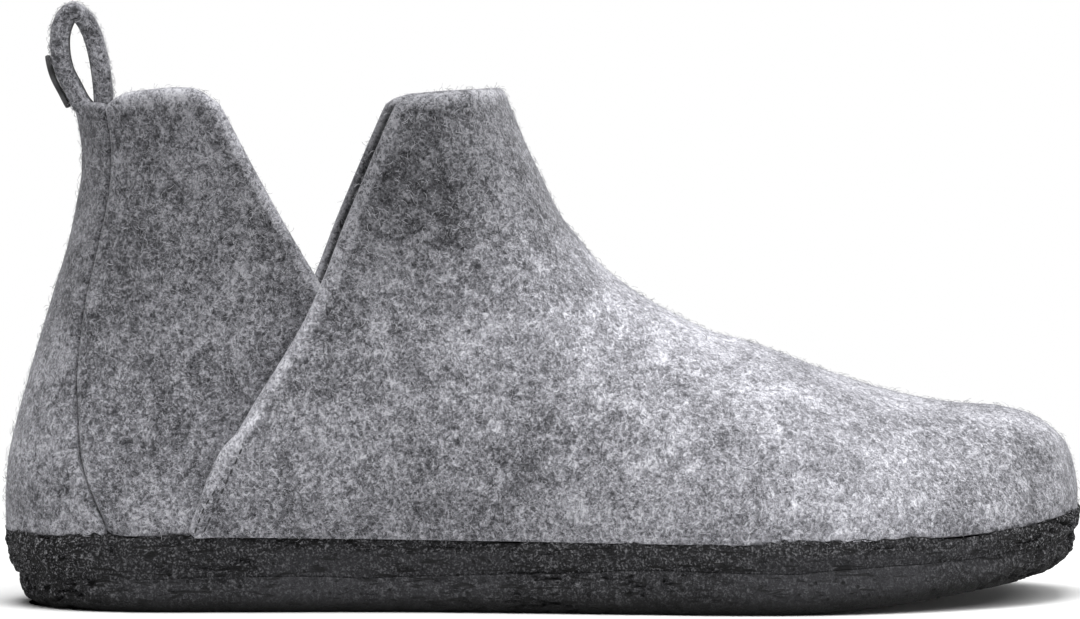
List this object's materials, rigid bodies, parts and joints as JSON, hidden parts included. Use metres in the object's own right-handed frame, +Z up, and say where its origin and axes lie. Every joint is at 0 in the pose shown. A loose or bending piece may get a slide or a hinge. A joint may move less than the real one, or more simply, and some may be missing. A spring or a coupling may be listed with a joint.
{
  "type": "felt slipper",
  "caption": "Ankle-high slip-on slipper of thick felt: a high front laps over a heel panel, with a pull loop at the back and a flat two-layer rubber sole.",
  "frame": {"origin": "on the floor, on the flat underside of the outsole below the middle of the heel, 38 mm ahead of the heel's back", "axes": "+X towards the toe, +Z up, -Y the outer side of the right foot"},
  "size_m": [0.2885, 0.104, 0.1588],
  "materials": {
    "felt": "thick marled grey wool felt, hairy, with paler cut edges",
    "insole": "plain grey felt cover",
    "midsole": "dark crumb rubber, rough and pitted side",
    "outsole": "dark crumb rubber, smoother than the layer above",
    "tag": "black woven tape, blank"
  },
  "bodies": {
    "root": {"outsole": "outsole", "midsole": "midsole", "insole": "insole", "upper": "felt", "back_strip": "felt", "pull_loop": "felt", "loop_tag": "tag"}
  },
  "joints": []
}
